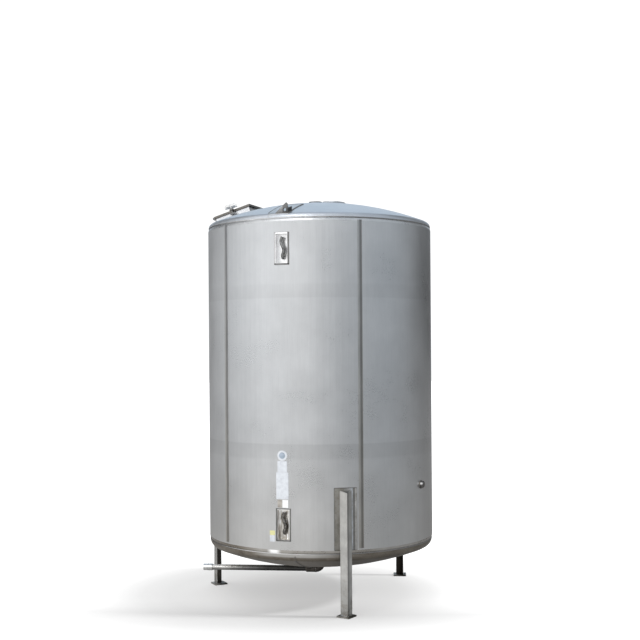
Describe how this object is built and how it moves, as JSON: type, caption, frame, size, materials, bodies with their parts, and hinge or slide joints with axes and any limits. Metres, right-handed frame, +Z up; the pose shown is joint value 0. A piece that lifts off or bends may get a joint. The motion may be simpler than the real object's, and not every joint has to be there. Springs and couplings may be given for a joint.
{
  "type": "vertical storage tank",
  "caption": "Upright insulated steel storage tank with dished ends, standing on angle legs, with a hinged hatch on the dome and a bottom drain pipe.",
  "frame": {"origin": "on the ground under the middle of the whole outline; the tank's own axis stands at x = 0.0304 m and y = 0.0284 m, because the drain pipe and the front leg reach past the wall", "axes": "+Z up along the tank's axis; -Y is the front that the picture shows, with the recesses a little left of the middle and the front leg a little right; +X is to the right seen from the front"},
  "size_m": [1.6667, 1.6567, 2.8177],
  "materials": {
    "steel_cool": "satin cladding sheet",
    "steel_warm": "mill finish",
    "steel_dull": "dull, weathered",
    "steel_bright": "bright",
    "cast_dark": "dark casting",
    "rubber_grey": "matte"
  },
  "bodies": {
    "tank": {"bottom_head": "steel_dull", "bottom_rim_band": "steel_warm", "clamp_lug_far": "steel_dull", "clamp_lug_near": "steel_dull", "drain_coupling": "cast_dark", "drain_elbow": "cast_dark", "drain_neck": "cast_dark", "drain_pipe": "steel_warm", "drain_union": "steel_bright", "foot_plate_front": "steel_warm", "foot_plate_rear_left": "steel_warm", "foot_plate_rear_right": "steel_warm", "hinge_bracket_far": "steel_dull", "hinge_bracket_near": "steel_dull", "jacket_panel_1": "steel_cool", "jacket_panel_2": "steel_cool", "jacket_panel_3": "steel_cool", "jacket_panel_4": "steel_cool", "jacket_panel_5": "steel_cool", "joint_strip_1": "steel_dull", "joint_strip_2": "steel_dull", "joint_strip_3": "steel_dull", "joint_strip_4": "steel_dull", "joint_strip_5": "steel_dull", "leg_front": "steel_warm", "leg_pad_front": "steel_dull", "leg_pad_rear_left": "steel_dull", "leg_pad_rear_right": "steel_dull", "leg_rear_left": "steel_warm", "leg_rear_right": "steel_warm", "lifting_lug_front": "steel_dull", "lifting_lug_rear": "steel_dull", "lower_jacket_pipe": "steel_bright", "lower_recess_frame": "steel_bright", "lug_pad_front": "steel_cool", "lug_pad_rear": "steel_cool", "manway_neck": "steel_cool", "side_boss": "steel_dull", "top_head": "steel_cool", "top_port": "steel_cool", "top_rim_band": "steel_cool", "upper_jacket_pipe": "steel_bright", "upper_recess_frame": "steel_bright", "vent_cap": "steel_dull", "vent_neck": "steel_dull"},
    "lid": {"clamp_screw_far": "steel_bright", "clamp_screw_near": "steel_bright", "lid_gasket": "rubber_grey", "manway_lid": "steel_dull"}
  },
  "joints": [
    {"name": "manway_lid_hinge", "type": "hinge", "parent": "tank", "child": "lid", "pos_m": [-0.69172, 0.29123, 2.70982], "axis": [-0.342, -0.9397, 0], "range_deg": [0, 105]}
  ]
}
